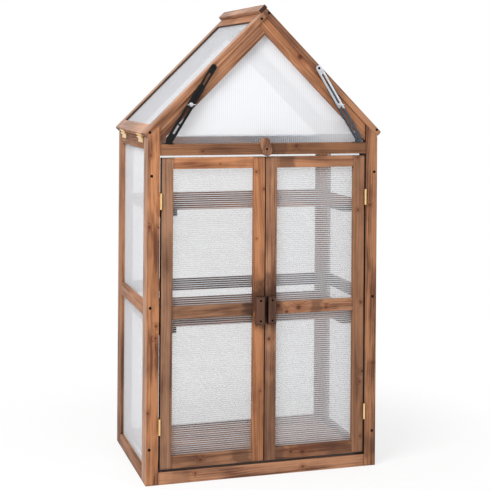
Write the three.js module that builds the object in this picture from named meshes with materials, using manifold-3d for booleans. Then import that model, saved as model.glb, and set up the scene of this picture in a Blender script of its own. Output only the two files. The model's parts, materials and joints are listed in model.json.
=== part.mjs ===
// A wooden mini greenhouse: two glazed doors, a roof of two panels hinged at
// the eaves and held by slotted stays, and three slatted shelves.
// Millimetres, X to the right, Y to the back, Z up. The house is set out with
// the fronts of its posts at Y = 0, and the whole group is then moved so that
// its origin lies on the ground under the middle of its outer box.
import * as THREE from 'three';
import { mergeVertices } from 'three/addons/utils/BufferGeometryUtils.js';
import Module from 'manifold-3d';

const wasm = await Module();
wasm.setup();

// House
const houseWidth = 700;
const houseDepth = 440;
const eaveHeight = 984;
const roofSlope = Math.PI / 4;
const fit = 0.3;
const overrun = 5;

// Timber
const postWidth = 36;
const postDepth = 54;
const beamDepth = 34;
const frontTopRailBelowEave = 50.5;
const frontTopRailHeight = 32.5;
const bottomRailHeight = 36;
const sideRailThickness = 22;
const sideTopRailBelowEave = 34;
const middleRailBottom = 476;
const middleRailHeight = 38;
const backMiddleRailBottom = 470;
const wallRecess = 10;

// Gables
const gableBarWidth = 35;
const gableBarThickness = 18;
const gableSetBack = 6;

// Twin-wall sheet
const sheetThickness = 4;
const sheetLap = 10;

// Doors
const doorThickness = 20;
const doorBottom = 43;
const doorTopGap = 6.5;
const doorSideGap = 5;
const doorMeetingGap = 3;
const doorStileWidth = 34;
const doorTopRailHeight = 32;
const doorBottomRailHeight = 35;
const doorMiddleRailBottom = 468;
const doorMiddleRailHeight = 34.5;

// Door handles
const handleWidth = 25.5;
const handleHeight = 81;
const handleDepth = 20;
const handleBottom = 442;
const handleEdgeInset = 3.3;
const handleCornerRadius = 4;
const handleScrewSpacing = 59;
const handleScrewRadius = 3.2;
const handleScrewDepth = 9;

// Turn button over the doors
const buttonWidth = 29;
const buttonLongEnd = 34;
const buttonShortEnd = 20.5;
const buttonThickness = 12;
const buttonTilt = THREE.MathUtils.degToRad(13);
const buttonScrewRadius = 3.5;
const buttonScrewDepth = 4;

// Roof panels
const roofThickness = 18;
const roofRailWidth = 35;
const roofGrooveBottom = 7;
const eaveRounding = 5;
const ridgeGap = 0.5;
const ridgeCapThickness = 12;
const ridgeCapLap = 5;
const ridgeCapOverhang = 3;

// Hinges
const hingeLeafThickness = 1.6;
const knuckleRadius = 3.2;
const pinRadius = 1.4;
const pinPlay = 0.3;
const knuckleStandOff = 3.5;
const doorHingeLength = 46;
const doorHingeLeafWidth = 17;
const doorHingeBottomInset = 122;
const doorHingeTopInset = 123;
const roofHingeLength = 60;
const roofHingeFixedLeaf = 15;
const roofHingeMovingLeaf = 12;
const roofHingeInset = 95;
const hingeKnuckleCount = 3;

// Roof stays
const stayFootInset = 26;
const stayFootHeight = 12;
const stayEyeAlongRoof = 277;
const stayPlateThickness = 1.8;
const stayBack = 2.8;
const stayPlay = 0.4;
const stayLowerLength = 185;
const stayUpperLength = 196;
const stayLowerWidth = 21;
const stayUpperWidth = 18;
const staySlotWidth = 6.6;
const staySlotFromEye = 20;
const staySlotFromTip = 5;
const stayClampFromFoot = 118;
const stayPivotRadius = 2.4;
const stayRivetHeadRadius = 4.5;
const stayRivetHeadThickness = 1.3;
const stayFootWidth = 28;
const stayFootDepth = 15;
const stayFootThickness = 2;
const stayFootSetBack = 0.5;
const stayFootEarRadius = 9;
const stayBossRadius = 6;

// Clamp bolt and wing nut
const boltHeadRadius = 6;
const boltHeadThickness = 1.4;
const boltRadius = 2.5;
const nutRadius = 5;
const nutHeight = 6;
const wingSpan = 24;
const wingHeight = 10;
const wingThickness = 2.2;
const wingTipRounding = 3.3;

// Shelves
const shelfSlatCount = 6;
const shelfSlatGap = 11.2;
const shelfSlatThickness = 16;
const bottomShelfSeat = 20;
const middleShelfSeat = 438;
const topShelfBelowEave = 209;
const shelfEndGap = 0.5;
const shelfFront = 36;
const shelfBattenWidth = 35;
const shelfBattenInset = 24;
const shelfBattenHeight = 18;
const battenHousing = 2;
const cleatWidth = 18;
const cleatHeight = 18;
const cleatFront = 24;

// Worked out from the sizes above
const halfWidth = houseWidth / 2;
const postInner = halfWidth - postWidth;
const slopeSin = Math.sin(roofSlope);
const slopeCos = Math.cos(roofSlope);
const roofRise = halfWidth * Math.tan(roofSlope);
const slopeLength = halfWidth / slopeCos;
const underRoofGap = fit / slopeCos;
const frontTopRailBottom = eaveHeight - frontTopRailBelowEave;
const frontTopRailTop = frontTopRailBottom + frontTopRailHeight;
const sideTopRailBottom = eaveHeight - sideTopRailBelowEave;
const doorTop = frontTopRailBottom - doorTopGap;
const doorHingeHeights = [doorBottom + doorHingeBottomInset, doorTop - doorHingeTopInset];
const stayFootX = postInner - stayFootInset;
const shelfDepth = houseDepth - 2 * shelfFront;
const shelfSlatPitch = (shelfDepth + shelfSlatGap) / shelfSlatCount;
const shelfSeatHeights = {
  bottom: bottomShelfSeat, middle: middleShelfSeat, top: eaveHeight - topShelfBelowEave,
};
const gableBack = gableSetBack + gableBarThickness;
const rebateDepth = sheetThickness + 2 * fit;
const roofGrooveTop = roofGrooveBottom + rebateDepth;
const roundSegments = 16;
const smallRoundSegments = 12;
const arcPoints = 6;

const material = (color, roughness, metalness) =>
  new THREE.MeshStandardMaterial({ color, roughness, metalness });
const postWood = material(0xb5794f, 0.75, 0);
const railWood = material(0xa86b45, 0.75, 0);
const shelfWood = material(0xa9714c, 0.8, 0);
const darkWood = material(0x7a4d35, 0.8, 0);
const glazing = material(0xe6e9ea, 0.3, 0);
const brass = material(0xd8b25e, 0.35, 1);
const blackSteel = material(0x1b1a1a, 0.45, 0.6);
const zincSteel = material(0xb9bdc2, 0.35, 1);

const house = new THREE.Group();

function place(name, geometry, finish, parent = house) {
  const mesh = new THREE.Mesh(geometry, finish);
  mesh.name = name;
  parent.add(mesh);
  return mesh;
}

// Solids for cutting and joining
function toSolid(geometry) {
  const bare = geometry.clone();
  bare.deleteAttribute('normal');
  bare.deleteAttribute('uv');
  const merged = mergeVertices(bare);
  return new wasm.Manifold(new wasm.Mesh({
    numProp: 3,
    vertProperties: new Float32Array(merged.attributes.position.array),
    triVerts: new Uint32Array(merged.index.array),
  }));
}

function toGeometry(solid) {
  const mesh = solid.getMesh();
  const geometry = new THREE.BufferGeometry();
  geometry.setAttribute('position', new THREE.BufferAttribute(mesh.vertProperties, 3));
  geometry.setIndex(new THREE.BufferAttribute(mesh.triVerts, 1));
  geometry.computeVertexNormals();
  return geometry;
}

function combine(base, added, removed = []) {
  let solid = toSolid(base);
  for (const geometry of added) {
    solid = solid.add(toSolid(geometry));
  }
  for (const geometry of removed) {
    solid = solid.subtract(toSolid(geometry));
  }
  return toGeometry(solid);
}

function cut(base, ...removed) {
  return combine(base, [], removed);
}

// A block between two corners
function block(x0, x1, y0, y1, z0, z1) {
  const geometry = new THREE.BoxGeometry(x1 - x0, y1 - y0, z1 - z0);
  return geometry.translate((x0 + x1) / 2, (y0 + y1) / 2, (z0 + z1) / 2);
}

// An outline seen from the front, extruded from Y = y0 to Y = y1
function frontProfile(outline, y0, y1) {
  const shape = Array.isArray(outline) ? new THREE.Shape(outline) : outline;
  const geometry = new THREE.ExtrudeGeometry(shape, {
    depth: y1 - y0, bevelEnabled: false, curveSegments: arcPoints,
  });
  return geometry.rotateX(Math.PI / 2).translate(0, y1, 0);
}

function point(x, y) {
  return new THREE.Vector2(x, y);
}

// A round bar along Y
function barAlongY(radius, x, z, y0, y1, segments = roundSegments) {
  const geometry = new THREE.CylinderGeometry(radius, radius, y1 - y0, segments);
  return geometry.translate(x, (y0 + y1) / 2, z);
}

// A round bar along Z
function barAlongZ(radius, x, y, z0, z1, segments = roundSegments) {
  const geometry = new THREE.CylinderGeometry(radius, radius, z1 - z0, segments);
  return geometry.rotateX(Math.PI / 2).translate(x, y, (z0 + z1) / 2);
}

// A flat bar with round ends, lying along X from its first eye at the origin
function roundBar(length, width, headRadius = width / 2) {
  const shape = new THREE.Shape();
  const tip = width / 2;
  shape.absarc(length - tip, 0, tip, -Math.PI / 2, Math.PI / 2, false);
  shape.absarc(0, 0, headRadius, Math.PI / 2, 3 * Math.PI / 2, false);
  shape.closePath();
  return shape;
}

function slotHole(from, to, width) {
  const hole = new THREE.Path();
  const radius = width / 2;
  hole.absarc(to - radius, 0, radius, -Math.PI / 2, Math.PI / 2, false);
  hole.absarc(from + radius, 0, radius, Math.PI / 2, 3 * Math.PI / 2, false);
  hole.closePath();
  return hole;
}

// Height of the roof's underside over a place x
function underRoof(x) {
  return eaveHeight + (halfWidth - Math.abs(x)) * Math.tan(roofSlope);
}

// Corner posts, cut at the slope of the roof
function addPosts() {
  for (const [across, side] of [['left', -1], ['right', 1]]) {
    for (const [along, y0] of [['front', 0], ['back', houseDepth - postDepth]]) {
      const outline = [
        point(side * halfWidth, 0),
        point(side * postInner, 0),
        point(side * postInner, underRoof(postInner) - underRoofGap),
        point(side * halfWidth, underRoof(halfWidth) - underRoofGap),
      ];
      const geometry = frontProfile(outline, y0, y0 + postDepth);
      place(`post_${along}_${across}`, geometry, postWood);
    }
  }
}

// Rails between the posts of the front and the back
function addFrontAndBackRails() {
  const end = postInner - fit;
  const rail = (name, y0, y1, z0, z1) =>
    place(name, block(-end, end, y0, y1, z0, z1), railWood);
  const backFace = houseDepth - beamDepth;
  rail('front_rail_top', 0, beamDepth, frontTopRailBottom, frontTopRailTop);
  rail('front_rail_bottom', 0, beamDepth, 0, bottomRailHeight);
  rail('back_rail_top', backFace, houseDepth, frontTopRailBottom, frontTopRailTop);
  rail('back_rail_bottom', backFace, houseDepth, 0, bottomRailHeight);
  rail('back_rail_middle', houseDepth - wallRecess + fit, houseDepth,
    backMiddleRailBottom, backMiddleRailBottom + middleRailHeight);
}

// Rails of the two side walls. The middle one is a batten over the sheet.
function addSideRails() {
  const y0 = postDepth + fit;
  const y1 = houseDepth - postDepth - fit;
  const railTop = eaveHeight - underRoofGap;
  for (const [across, side] of [['left', -1], ['right', 1]]) {
    const rail = (name, thickness, z0, z1) => {
      const inner = side * (halfWidth - thickness);
      const outer = side * halfWidth;
      const x0 = Math.min(inner, outer);
      const x1 = Math.max(inner, outer);
      place(`side_rail_${name}_${across}`, block(x0, x1, y0, y1, z0, z1), railWood);
    };
    rail('top', sideRailThickness, sideTopRailBottom, railTop);
    rail('middle', wallRecess - fit, middleRailBottom, middleRailBottom + middleRailHeight);
    rail('bottom', sideRailThickness, 0, bottomRailHeight);
  }
}

// Sheets of the side and back walls, let in between rails and posts
function addWallSheets() {
  const y0 = postDepth + fit;
  const y1 = houseDepth - postDepth - fit;
  const z0 = bottomRailHeight + fit;
  for (const [across, side] of [['left', -1], ['right', 1]]) {
    const outer = side * (halfWidth - wallRecess);
    const inner = outer - side * sheetThickness;
    const x0 = Math.min(inner, outer);
    const x1 = Math.max(inner, outer);
    place(`side_sheet_${across}`, block(x0, x1, y0, y1, z0, sideTopRailBottom - fit), glazing);
  }
  const end = postInner - fit;
  const outerFace = houseDepth - wallRecess;
  place('back_sheet', block(-end, end, outerFace - sheetThickness, outerFace,
    z0, frontTopRailBottom - fit), glazing);
}

// Each gable: two sloping bars joined at the apex, and a sheet behind them
function addGables() {
  const end = postInner - fit;
  const apex = eaveHeight + roofRise - underRoofGap;
  const barDrop = gableBarWidth / slopeCos;
  const drop = (x) => x * Math.tan(roofSlope);
  const bars = [
    point(0, apex), point(-end, apex - drop(end)),
    point(-end, apex - barDrop - drop(end)), point(0, apex - barDrop),
    point(end, apex - barDrop - drop(end)), point(end, apex - drop(end)),
  ];
  const foot = frontTopRailTop + fit;
  const sheet = [
    point(0, apex), point(-end, apex - drop(end)), point(-end, foot),
    point(end, foot), point(end, apex - drop(end)),
  ];
  for (const along of ['front', 'back']) {
    const faces = [gableSetBack, gableBack, gableBack + fit, gableBack + fit + sheetThickness];
    const [a, b, c, d] = along === 'front' ? faces : faces.map((y) => houseDepth - y);
    const barGeometry = frontProfile(bars, Math.min(a, b), Math.max(a, b));
    const sheetGeometry = frontProfile(sheet, Math.min(c, d), Math.max(c, d));
    place(`gable_frame_${along}`, barGeometry, railWood);
    place(`gable_sheet_${along}`, sheetGeometry, glazing);
  }
}

// A door: a frame with two windows, a rebate at its back and one sheet
function addDoor(across, side) {
  const hingeEdge = side * (postInner - doorSideGap);
  const meetingEdge = side * doorMeetingGap / 2;
  const x0 = Math.min(hingeEdge, meetingEdge);
  const x1 = Math.max(hingeEdge, meetingEdge);
  const left = x0 + doorStileWidth;
  const right = x1 - doorStileWidth;
  const low = doorBottom + doorBottomRailHeight;
  const high = doorTop - doorTopRailHeight;
  const middleTop = doorMiddleRailBottom + doorMiddleRailHeight;
  const seat = doorThickness - rebateDepth;
  const through = [-overrun, doorThickness + overrun];
  const frame = cut(
    block(x0, x1, 0, doorThickness, doorBottom, doorTop),
    block(left, right, ...through, low, doorMiddleRailBottom),
    block(left, right, ...through, middleTop, high),
    block(left - sheetLap, right + sheetLap, seat, doorThickness + overrun,
      low - sheetLap, high + sheetLap),
  );
  place(`door_${across}_frame`, frame, railWood);
  const sheet = block(left - sheetLap + fit, right + sheetLap - fit,
    seat + fit, seat + fit + sheetThickness, low - sheetLap + fit, high + sheetLap - fit);
  place(`door_${across}_sheet`, sheet, glazing);
  place(`door_${across}_handle`, handleBlock(side), darkWood);
}

// A pull block with rounded corners and two sunk screw holes
function handleBlock(side) {
  const inner = doorMeetingGap / 2 + handleEdgeInset;
  const centre = side * (inner + handleWidth / 2);
  const x = handleWidth / 2;
  const r = handleCornerRadius;
  const back = fit;
  const front = handleDepth;
  const shape = new THREE.Shape();
  shape.moveTo(-x, back);
  shape.lineTo(x, back);
  shape.absarc(x - r, front - r, r, 0, Math.PI / 2, false);
  shape.absarc(r - x, front - r, r, Math.PI / 2, Math.PI, false);
  shape.closePath();
  const body = new THREE.ExtrudeGeometry(shape, {
    depth: handleHeight, bevelEnabled: false, curveSegments: arcPoints,
  });
  body.rotateZ(Math.PI).translate(centre, 0, handleBottom);
  const middle = handleBottom + handleHeight / 2;
  const holes = [-1, 1].map((end) => barAlongY(handleScrewRadius, centre,
    middle + end * handleScrewSpacing / 2,
    -front - overrun, handleScrewDepth - front, smallRoundSegments));
  return cut(body, ...holes);
}

// The turn button: its long end locks the doors when it is turned down
function addTurnButton() {
  const radius = buttonWidth / 2;
  const shape = new THREE.Shape();
  shape.absarc(0, buttonLongEnd - radius, radius, 0, Math.PI, false);
  shape.absarc(0, radius - buttonShortEnd, radius, Math.PI, 2 * Math.PI, false);
  shape.closePath();
  const front = -fit - buttonThickness;
  const body = frontProfile(shape, front, -fit);
  const screw = barAlongY(buttonScrewRadius, 0, 0, front - overrun, front + buttonScrewDepth,
    smallRoundSegments);
  const button = place('turn_button', cut(body, screw), darkWood);
  button.position.set(0, 0, frontTopRailBottom + frontTopRailHeight / 2);
  button.rotation.y = -buttonTilt;
}

// A roof panel lies flat first: up the slope along X from its eave, its
// underside at Z = 0, and is then turned up on the eave corner.
function roofPanelGroup(side) {
  const group = new THREE.Group();
  group.position.set(side * halfWidth, 0, eaveHeight);
  group.rotation.y = side * roofSlope;
  house.add(group);
  return group;
}

function roofFrame(side, length) {
  const r = eaveRounding;
  const shape = new THREE.Shape();
  shape.moveTo(-side * length, 0);
  shape.lineTo(-side * length, roofThickness);
  shape.lineTo(-side * r, roofThickness);
  shape.quadraticCurveTo(0, roofThickness, 0, roofThickness - r);
  shape.lineTo(0, r);
  shape.quadraticCurveTo(0, 0, -side * r, 0);
  shape.closePath();
  const slab = frontProfile(shape, 0, houseDepth);
  const [x0, x1] = roofWindow(side, length, 0);
  const window = block(x0, x1, roofRailWidth, houseDepth - roofRailWidth,
    -overrun, roofThickness + overrun);
  const [u0, u1] = roofWindow(side, length, sheetLap);
  const groove = block(u0, u1, roofRailWidth - sheetLap, houseDepth - roofRailWidth + sheetLap,
    roofGrooveBottom, roofGrooveTop);
  return [slab, [window, groove]];
}

// Both ends of a panel's window up the slope, widened by a lap
function roofWindow(side, length, lap) {
  const ends = [-side * (roofRailWidth - lap), -side * (length - roofRailWidth + lap)];
  return ends.sort((a, b) => a - b);
}

// Places of the pin, seen from the eave corner along and across the panel
function roofPinInPanel(side) {
  const [pinX, pinZ] = roofPinOffset();
  const along = pinX * slopeCos + pinZ * slopeSin;
  const across = pinX * slopeSin - pinZ * slopeCos;
  return [side * along, across];
}

// The pin stands off from the wall and from the end of the panel alike
function roofPinOffset() {
  const drop = (knuckleStandOff - knuckleStandOff * slopeCos) / slopeSin;
  return [knuckleStandOff, drop];
}

function hingeCentres() {
  return [roofHingeInset, houseDepth - roofHingeInset];
}

function addRoofPanel(across, side, length) {
  const group = roofPanelGroup(side);
  const [slab, openings] = roofFrame(side, length);
  const [pinX, pinZ] = roofPinInPanel(side);
  const leafStep = knuckleRadius + pinPlay + fit;
  const leaves = [];
  const bores = [];
  const knuckle = roofHingeLength / hingeKnuckleCount - fit;
  for (const y of hingeCentres()) {
    const y0 = y - knuckle / 2;
    const y1 = y + knuckle / 2;
    leaves.push(barAlongY(knuckleRadius, pinX, pinZ, y0, y1));
    const outer = side * hingeLeafThickness;
    const sunk = -side * hingeLeafThickness;
    leaves.push(block(Math.min(outer, sunk), Math.max(outer, sunk), y0, y1, pinZ, pinZ + leafStep));
    leaves.push(block(Math.min(outer, sunk), Math.max(outer, sunk),
      y - roofHingeLength / 2, y + roofHingeLength / 2,
      pinZ + knuckleRadius + pinPlay, pinZ + roofHingeMovingLeaf));
    bores.push(barAlongY(pinRadius + pinPlay, pinX, pinZ, y0 - overrun, y1 + overrun));
  }
  place(`roof_${across}_frame`, combine(slab, leaves, [...openings, ...bores]), railWood, group);
  const [u0, u1] = roofWindow(side, length, sheetLap - fit);
  const lapped = roofRailWidth - sheetLap + fit;
  const sheet = block(u0, u1, lapped, houseDepth - lapped,
    roofGrooveBottom + fit, roofGrooveTop - fit);
  place(`roof_${across}_sheet`, sheet, glazing, group);
  return group;
}

// The left panel stops under the right one, which runs up to the left one's
// top face. The cap lies on the left panel and covers the right one's end.
function addRoof() {
  const leftLength = slopeLength - ridgeGap;
  const rightLength = slopeLength + roofThickness;
  const left = addRoofPanel('left', -1, leftLength);
  addRoofPanel('right', 1, rightLength);
  const bottom = roofThickness + ridgeGap;
  const cap = block(slopeLength - ridgeCapLap, rightLength + ridgeCapOverhang, 0, houseDepth,
    bottom, bottom + ridgeCapThickness);
  place('ridge_cap', cap, postWood, left);
}

// The fixed leaves of the roof hinges, on the outer faces of the side rails
function addRoofHingeLeaves() {
  const [offX, offZ] = roofPinOffset();
  const knuckle = roofHingeLength / hingeKnuckleCount;
  for (const [across, side] of [['left', -1], ['right', 1]]) {
    const pinX = side * (halfWidth + offX);
    const pinZ = eaveHeight - offZ;
    const back = side * (halfWidth + fit);
    const front = back + side * hingeLeafThickness;
    const x0 = Math.min(back, front);
    const x1 = Math.max(back, front);
    hingeCentres().forEach((y, index) => {
      const y0 = y - roofHingeLength / 2;
      const y1 = y + roofHingeLength / 2;
      const knuckleLow = pinZ - knuckleRadius - pinPlay;
      const plate = block(x0, x1, y0, y1, pinZ - roofHingeFixedLeaf, knuckleLow);
      const added = [barAlongY(pinRadius, pinX, pinZ, y0, y1, smallRoundSegments)];
      for (const [from, to] of [[y0, y0 + knuckle - fit], [y1 - knuckle + fit, y1]]) {
        added.push(barAlongY(knuckleRadius, pinX, pinZ, from, to));
        added.push(block(x0, x1, from, to, knuckleLow - hingeLeafThickness, pinZ));
      }
      const along = index === 0 ? 'front' : 'back';
      place(`roof_hinge_${across}_${along}`, combine(plate, added), brass);
    });
  }
}

// Door hinges: a fixed leaf with the pin, and a moving leaf on the door
function addDoorHinges() {
  const knuckle = doorHingeLength / hingeKnuckleCount;
  for (const [across, side] of [['left', -1], ['right', 1]]) {
    const pinX = side * (postInner - doorSideGap / 2);
    const pinY = -knuckleStandOff;
    const wallFace = side * (postInner - fit);
    const wallPlate = [wallFace, wallFace - side * hingeLeafThickness].sort((a, b) => a - b);
    const doorFace = side * (postInner - doorSideGap + fit);
    const doorPlate = [doorFace, doorFace + side * hingeLeafThickness].sort((a, b) => a - b);
    doorHingeHeights.forEach((z, index) => {
      const z0 = z - doorHingeLength / 2;
      const z1 = z + doorHingeLength / 2;
      const clear = pinY + knuckleRadius + pinPlay;
      const level = index === 0 ? 'lower' : 'upper';
      const ends = [[z0, z0 + knuckle - fit], [z1 - knuckle + fit, z1]];
      const fixed = combine(
        block(...wallPlate, clear, doorHingeLeafWidth, z0, z1),
        [barAlongZ(pinRadius, pinX, pinY, z0, z1, smallRoundSegments),
          ...ends.flatMap(([from, to]) => [
            barAlongZ(knuckleRadius, pinX, pinY, from, to),
            block(...wallPlate, pinY, clear + hingeLeafThickness, from, to),
          ])],
      );
      place(`door_hinge_${across}_${level}_fixed`, fixed, brass);
      const from = z0 + knuckle;
      const to = z1 - knuckle;
      const moving = combine(
        block(...doorPlate, clear, doorHingeLeafWidth, z0, z1),
        [barAlongZ(knuckleRadius, pinX, pinY, from, to),
          block(...doorPlate, pinY, clear + hingeLeafThickness, from, to)],
        [barAlongZ(pinRadius + pinPlay, pinX, pinY, from - overrun, to + overrun)],
      );
      place(`door_hinge_${across}_${level}_moving`, moving, brass);
    });
  }
}

// Where a stay's lower pivot and upper eye are, seen from the front
function stayEnds(side) {
  const foot = point(side * stayFootX, frontTopRailTop + stayFootHeight);
  const across = roofThickness / 2;
  const eye = point(
    side * (halfWidth - stayEyeAlongRoof * slopeCos + across * slopeSin),
    eaveHeight + stayEyeAlongRoof * slopeSin + across * slopeCos,
  );
  return [foot, eye];
}

// The foot: an angle on the ledge of the top rail with a rivet for the arm
function addStayFoot(across, foot) {
  const seat = frontTopRailTop + fit;
  const back = stayFootSetBack + stayFootDepth;
  const half = stayFootWidth / 2;
  const base = block(foot.x - half, foot.x + half, stayFootSetBack, back,
    seat, seat + stayFootThickness);
  const ear = new THREE.Shape();
  ear.moveTo(-stayFootEarRadius, seat - foot.y);
  ear.lineTo(stayFootEarRadius, seat - foot.y);
  ear.absarc(0, 0, stayFootEarRadius, 0, Math.PI, false);
  ear.closePath();
  const upright = frontProfile(ear, stayFootSetBack, stayFootSetBack + stayFootThickness);
  upright.translate(foot.x, 0, foot.y);
  const armFront = -stayBack - stayPlateThickness;
  const headBack = armFront - fit;
  const shank = barAlongY(stayPivotRadius, foot.x, foot.y, headBack - fit,
    stayFootSetBack + fit);
  const head = barAlongY(stayRivetHeadRadius, foot.x, foot.y,
    headBack - stayRivetHeadThickness, headBack);
  place(`stay_foot_${across}`, combine(base, [upright, shank, head]), zincSteel);
}

// Both arms lie flat along X first and are then turned to the line of the stay
function addStay(across, side, finish) {
  const [foot, eye] = stayEnds(side);
  addStayFoot(across, foot);
  const reach = foot.distanceTo(eye);
  const angle = Math.atan2(eye.y - foot.y, eye.x - foot.x);
  const stay = new THREE.Group();
  stay.position.set(foot.x, 0, foot.y);
  stay.rotation.y = -angle;
  house.add(stay);

  const lowerShape = roundBar(stayLowerLength, stayLowerWidth);
  lowerShape.holes.push(slotHole(staySlotFromEye, stayLowerLength - staySlotFromTip,
    staySlotWidth));
  const pivotHole = new THREE.Path();
  pivotHole.absarc(0, 0, stayPivotRadius + fit, 0, 2 * Math.PI, false);
  lowerShape.holes.push(pivotHole);
  const lowerFront = -stayBack - stayPlateThickness;
  const upperBack = lowerFront - stayPlay;
  const upperFront = upperBack - stayPlateThickness;
  const lowerPlate = frontProfile(lowerShape, lowerFront, -stayBack);
  const bolt = clampBolt(upperFront, angle);
  place(`stay_${across}_lower_arm`, combine(lowerPlate, [bolt]), finish, stay);

  const upperShape = roundBar(stayUpperLength, stayUpperWidth);
  upperShape.holes.push(slotHole(staySlotFromEye, stayUpperLength - staySlotFromTip,
    staySlotWidth));
  const boss = barAlongY(stayBossRadius, reach, 0, upperBack - stayPlateThickness / 2, -fit);
  place(`stay_${across}_upper_arm`, turnedUpperArm(reach, upperShape, upperFront, upperBack, boss),
    finish, stay);
}

// The upper arm runs from its eye back towards the foot
function turnedUpperArm(reach, shape, front, back, boss) {
  const plate = frontProfile(shape, front, back);
  plate.rotateY(Math.PI).translate(reach, 0, 0);
  return combine(plate, [boss]);
}

// A flat-headed bolt set in the lower arm, with a wing nut in front of both
function clampBolt(upperFront, angle) {
  const x = stayClampFromFoot;
  const headBack = boltHeadThickness - stayBack;
  const head = barAlongY(boltHeadRadius, x, 0, -stayBack - fit, headBack);
  const nutBack = upperFront - stayPlay;
  const nutFront = nutBack - nutHeight;
  const shank = barAlongY(boltRadius, x, 0, nutFront, headBack - fit, smallRoundSegments);
  const nut = barAlongY(nutRadius, x, 0, nutFront, nutBack);
  return combine(head, [shank, nut, wings(nutBack - fit, angle)]);
}

// Two wings that rise forward from the nut, level across the house
function wings(back, angle) {
  const half = wingSpan / 2;
  const tip = wingTipRounding;
  const shape = new THREE.Shape();
  shape.moveTo(-nutRadius / 2, 0);
  shape.lineTo(nutRadius / 2, 0);
  shape.quadraticCurveTo(half, tip, half, wingHeight - tip);
  shape.quadraticCurveTo(half, wingHeight, half - tip, wingHeight);
  shape.quadraticCurveTo(nutRadius, wingHeight - tip, 0, tip);
  shape.quadraticCurveTo(-nutRadius, wingHeight - tip, tip - half, wingHeight);
  shape.quadraticCurveTo(-half, wingHeight, -half, wingHeight - tip);
  shape.quadraticCurveTo(-half, tip, -nutRadius / 2, 0);
  shape.closePath();
  const geometry = new THREE.ExtrudeGeometry(shape, {
    depth: wingThickness, bevelEnabled: false, curveSegments: arcPoints,
  });
  geometry.translate(0, 0, -wingThickness / 2).rotateZ(Math.PI).rotateY(angle);
  return geometry.translate(stayClampFromFoot, back, 0);
}

// A shelf: slats across the house on two battens
function addShelf(name, seat) {
  const end = postInner - shelfEndGap;
  const top = seat + shelfSlatThickness;
  const battens = [-1, 1].map((side) => {
    const outer = side * (end - shelfBattenInset);
    const inner = outer - side * shelfBattenWidth;
    const low = Math.max(0, seat - shelfBattenHeight);
    return block(Math.min(inner, outer), Math.max(inner, outer),
      shelfFront, houseDepth - shelfFront, low, seat + battenHousing);
  });
  const slats = [];
  for (let i = 0; i < shelfSlatCount; i += 1) {
    const y0 = shelfFront + i * shelfSlatPitch;
    slats.push(block(-end, end, y0, y0 + shelfSlatPitch - shelfSlatGap, seat, top));
  }
  place(`shelf_${name}`, combine(slats[0], [...slats.slice(1), ...battens]), shelfWood);
}

// Cleats on the posts carry the two upper shelves
function addCleats(name, seat) {
  const top = seat - fit;
  for (const [across, side] of [['left', -1], ['right', 1]]) {
    const outer = side * (postInner - fit);
    const inner = outer - side * cleatWidth;
    place(`cleat_${name}_${across}`, block(Math.min(inner, outer), Math.max(inner, outer),
      cleatFront, houseDepth - cleatFront, top - cleatHeight, top), shelfWood);
  }
}

addPosts();
addFrontAndBackRails();
addSideRails();
addWallSheets();
addGables();
addDoor('left', -1);
addDoor('right', 1);
addTurnButton();
addRoof();
addRoofHingeLeaves();
addDoorHinges();
addStay('left', -1, blackSteel);
addStay('right', 1, zincSteel);
for (const [name, seat] of Object.entries(shelfSeatHeights)) {
  addShelf(name, seat);
}
addCleats('middle', shelfSeatHeights.middle);
addCleats('top', shelfSeatHeights.top);

house.position.y = -(houseDepth - handleDepth) / 2;

export default house;
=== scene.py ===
import json
import math
import random
from functools import cache, partialmethod

import bmesh
import bpy
from bpy.props import FloatProperty, FloatVectorProperty, PointerProperty
from mathutils import Matrix, Vector


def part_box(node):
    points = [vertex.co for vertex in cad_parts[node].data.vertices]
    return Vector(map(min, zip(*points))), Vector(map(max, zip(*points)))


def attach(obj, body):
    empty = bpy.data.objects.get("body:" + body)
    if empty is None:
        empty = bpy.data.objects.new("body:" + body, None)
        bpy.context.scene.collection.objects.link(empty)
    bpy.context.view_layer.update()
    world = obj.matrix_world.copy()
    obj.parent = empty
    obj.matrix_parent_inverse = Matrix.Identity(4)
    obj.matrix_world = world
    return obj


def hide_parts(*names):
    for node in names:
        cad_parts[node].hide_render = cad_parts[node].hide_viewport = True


bl_info = {
    "name": "Wooden mini greenhouse",
    "version": (1, 0, 0),
    "blender": (4, 5, 0),
    "location": "View3D > Sidebar > Greenhouse",
    "description": "Dresses the packed solids of a wooden mini greenhouse",
    "category": "Object",
}

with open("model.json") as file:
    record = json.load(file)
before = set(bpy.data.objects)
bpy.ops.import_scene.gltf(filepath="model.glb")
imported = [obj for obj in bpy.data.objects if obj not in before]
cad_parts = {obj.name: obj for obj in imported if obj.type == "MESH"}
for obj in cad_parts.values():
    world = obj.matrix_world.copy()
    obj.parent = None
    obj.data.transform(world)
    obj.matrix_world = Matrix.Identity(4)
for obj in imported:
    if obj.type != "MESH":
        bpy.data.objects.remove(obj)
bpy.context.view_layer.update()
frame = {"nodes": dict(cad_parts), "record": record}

X = Vector((1, 0, 0))
Y = Vector((0, 1, 0))
Z = Vector((0, 0, 1))
TO_FRONT = -Y
SIDES = {"left": -1, "right": 1}
ENDS = ("front", "back")

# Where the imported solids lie, in metres

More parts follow.
